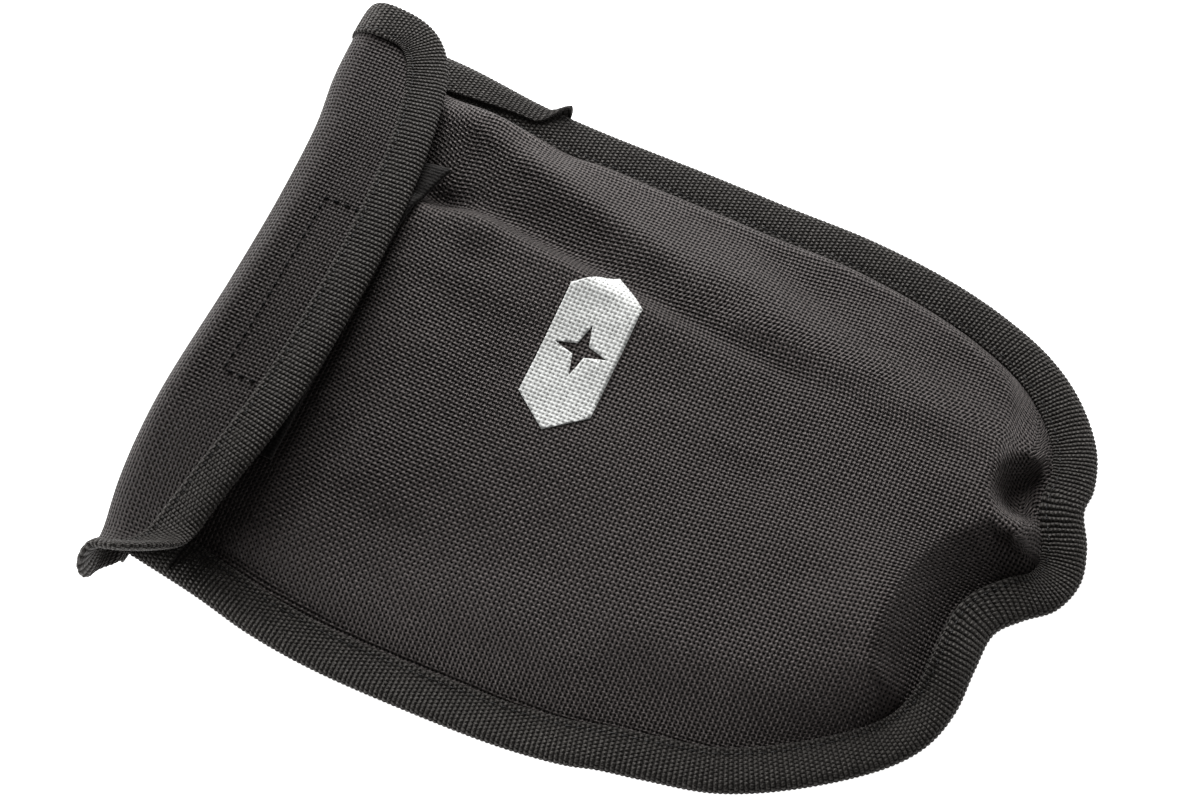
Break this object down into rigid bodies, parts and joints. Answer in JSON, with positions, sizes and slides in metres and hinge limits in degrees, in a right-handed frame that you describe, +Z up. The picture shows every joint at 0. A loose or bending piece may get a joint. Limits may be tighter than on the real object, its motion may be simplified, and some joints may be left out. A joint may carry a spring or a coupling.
{
  "type": "flap-top belt pouch",
  "caption": "Flap-top carry pouch in tape-bound ballistic nylon with a rounded tip, hook-and-loop closure and a belt loop, lying empty on its back.",
  "frame": {"origin": "centre of the pouch's bounding box, on the surface it lies on", "axes": "+Z up from the back panel to the flap, +Y towards the fold and mouth, +X to the right when the front is seen with the flap at the top"},
  "size_m": [0.208, 0.27, 0.028],
  "materials": {
    "ballistic_nylon": "coarse plain-woven ballistic nylon, warm charcoal black, low sheen on the yarn crowns",
    "binding_tape": "ribbed grosgrain binding tape, slightly greenish black, matt",
    "thread": "black bonded sewing thread",
    "hook_tape": "black hook tape, bristly",
    "loop_tape": "black brushed loop tape, fuzzy",
    "webbing": "black nylon webbing, flat weave",
    "print_ink": "off-white screen print, slightly cracked over the weave"
  },
  "bodies": {
    "pouch": {"back_panel": "ballistic_nylon", "front_panel": "ballistic_nylon", "body_binding": "binding_tape", "body_binding_stitching": "thread", "mouth_binding": "binding_tape", "mouth_binding_stitching": "thread", "side_tape_left": "binding_tape", "side_tape_right": "binding_tape", "mouth_bartack_left": "thread", "mouth_bartack_right": "thread", "loop_strip": "loop_tape", "loop_strip_stitching": "thread", "printed_mark": "print_ink", "belt_loop": "webbing", "belt_loop_lower_stitching": "thread", "belt_loop_upper_stitching": "thread"},
    "fold_band_body": {"fold_band": "ballistic_nylon", "fold_band_binding_left": "binding_tape", "fold_band_binding_right": "binding_tape"},
    "flap": {"flap_panel": "ballistic_nylon", "flap_binding": "binding_tape", "flap_binding_stitching": "thread", "hook_strip": "hook_tape", "hook_strip_stitching": "thread"}
  },
  "joints": [
    {"name": "lower_fold", "type": "hinge", "parent": "pouch", "child": "fold_band_body", "pos_m": [0, 0.12835, 0.00735], "axis": [-1, 0, 0], "range_deg": [0, 85]},
    {"name": "upper_fold", "type": "hinge", "parent": "fold_band_body", "child": "flap", "pos_m": [0, 0.12835, 0.0255], "axis": [-1, 0, 0], "range_deg": [0, 85]}
  ],
  "couplings": [
    {"joint": "upper_fold", "follows": "lower_fold", "ratio": 1}
  ]
}
